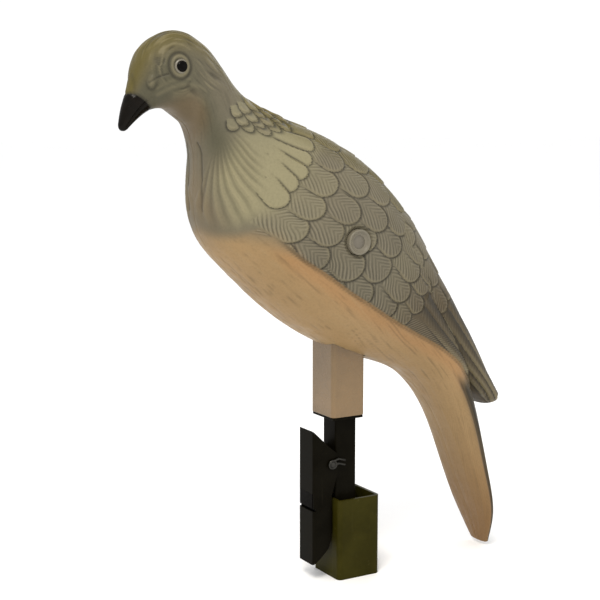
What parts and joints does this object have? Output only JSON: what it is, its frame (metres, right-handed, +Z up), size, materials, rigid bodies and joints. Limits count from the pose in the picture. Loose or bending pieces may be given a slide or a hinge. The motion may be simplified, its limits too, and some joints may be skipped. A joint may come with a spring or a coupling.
{
  "type": "motion wing decoy",
  "caption": "Hollow dove decoy with driven wing hubs on a square leg, held on a pole by a spring clip.",
  "frame": {"origin": "on the axis of the square pole, at the pole's lower end", "axes": "+Z up along the pole, the bird faces -Y, its left side is +X"},
  "size_m": [0.0755, 0.2222, 0.2795],
  "materials": {
    "dove_plastic": "moulded plastic, painted in greys and tans",
    "post_plastic": "satin beige moulded plastic",
    "hub_plastic": "grey moulded plastic",
    "olive_paint": "dark olive paint on steel tube",
    "black_paint": "satin black paint on steel",
    "black_rubber": "matt black rubber",
    "zinc_steel": "zinc-plated steel",
    "spring_steel": "spring steel wire and strip",
    "magnet_nickel": "nickel-plated magnet",
    "black_plastic": "matt black plastic",
    "cell_jacket": "plain jacket of a dry cell",
    "wire_jacket": "insulated lead"
  },
  "bodies": {
    "pole": {"pole_tube": "olive_paint"},
    "clamp_mount": {"peg_tube": "black_paint", "peg_flange": "black_paint", "pivot_bracket": "black_paint", "pivot_pin": "zinc_steel", "pin_retainer": "spring_steel", "clamp_spring": "spring_steel"},
    "clip_lever": {"clip_lever": "black_paint", "jaw_pad": "black_rubber", "pad_band": "black_rubber"},
    "decoy": {"leg_post": "post_plastic", "left_body_shell": "dove_plastic", "right_body_shell": "dove_plastic", "shell_screws": "zinc_steel", "motor_can": "zinc_steel", "motor_clamp": "black_plastic", "clamp_screws": "zinc_steel", "battery_box": "black_plastic", "battery_cell_1": "cell_jacket", "battery_cell_2": "cell_jacket", "battery_cell_3": "cell_jacket", "battery_cell_4": "cell_jacket", "battery_contacts": "spring_steel", "switch_housing": "black_plastic", "wire_leads": "wire_jacket"},
    "wing_drive": {"wing_shaft": "zinc_steel", "left_wing_hub": "hub_plastic", "left_hub_magnet": "magnet_nickel", "right_wing_hub": "hub_plastic", "right_hub_magnet": "magnet_nickel"},
    "switch_slider": {"switch_knob": "black_plastic"},
    "battery_door": {"battery_door": "dove_plastic", "door_screw": "zinc_steel"}
  },
  "joints": [
    {"name": "peg_lift", "type": "slide", "parent": "pole", "child": "clamp_mount", "axis": [0, 0, 1], "range_m": [0, 0.04]},
    {"name": "clip_squeeze", "type": "hinge", "parent": "clamp_mount", "child": "clip_lever", "pos_m": [0, -0.0139, 0.0615], "axis": [-1, 0, 0], "range_deg": [0, 12], "stiffness_Nm_per_rad": 0.5, "springref_deg": -20.05, "deforming": ["clamp_spring"]},
    {"name": "decoy_lift", "type": "slide", "parent": "clamp_mount", "child": "decoy", "axis": [0, 0, 1], "range_m": [0, 0.036]},
    {"name": "wing_spin", "type": "hinge", "parent": "decoy", "child": "wing_drive", "pos_m": [0, -0.0177, 0.1796], "axis": [1, 0, 0], "continuous": true},
    {"name": "switch_slide", "type": "slide", "parent": "decoy", "child": "switch_slider", "axis": [0, 0.7071, -0.7071], "range_m": [0, 0.005]},
    {"name": "door_lift", "type": "slide", "parent": "decoy", "child": "battery_door", "axis": [-1, 0, 0], "range_m": [0, 0.025]}
  ]
}
